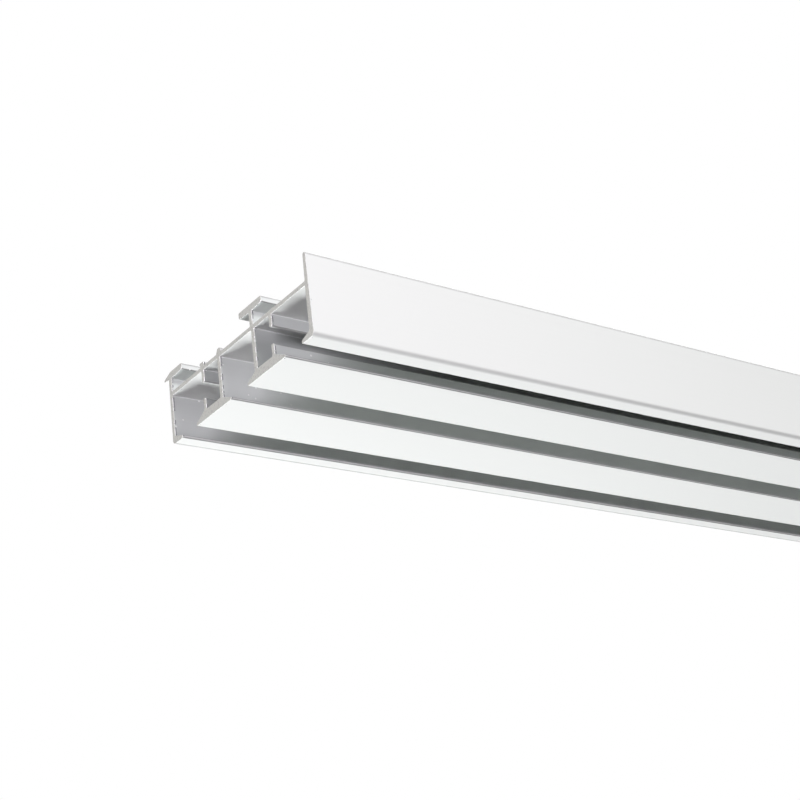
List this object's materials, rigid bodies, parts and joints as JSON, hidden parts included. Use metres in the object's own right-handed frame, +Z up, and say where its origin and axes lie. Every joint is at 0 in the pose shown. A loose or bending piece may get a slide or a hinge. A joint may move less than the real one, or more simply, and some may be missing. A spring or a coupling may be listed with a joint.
{
  "type": "curtain track",
  "caption": "White aluminium ceiling track with parallel slotted running channels, a tall front fascia, and flanges on top for ceiling clips. Bare cut length.",
  "frame": {"origin": "middle of the underside: half the length, the middle of the overall depth, and the level of the two outer lips", "axes": "+X along the track, +Y from the front fascia to the rear wall, +Z up to the ceiling"},
  "size_m": [1.4, 0.06, 0.0193],
  "materials": {
    "white_coated_aluminium": "white satin powder coat, thinner inside the channels, with bare sawn ends"
  },
  "bodies": {
    "root": {"track_profile": "white_coated_aluminium"}
  },
  "joints": []
}
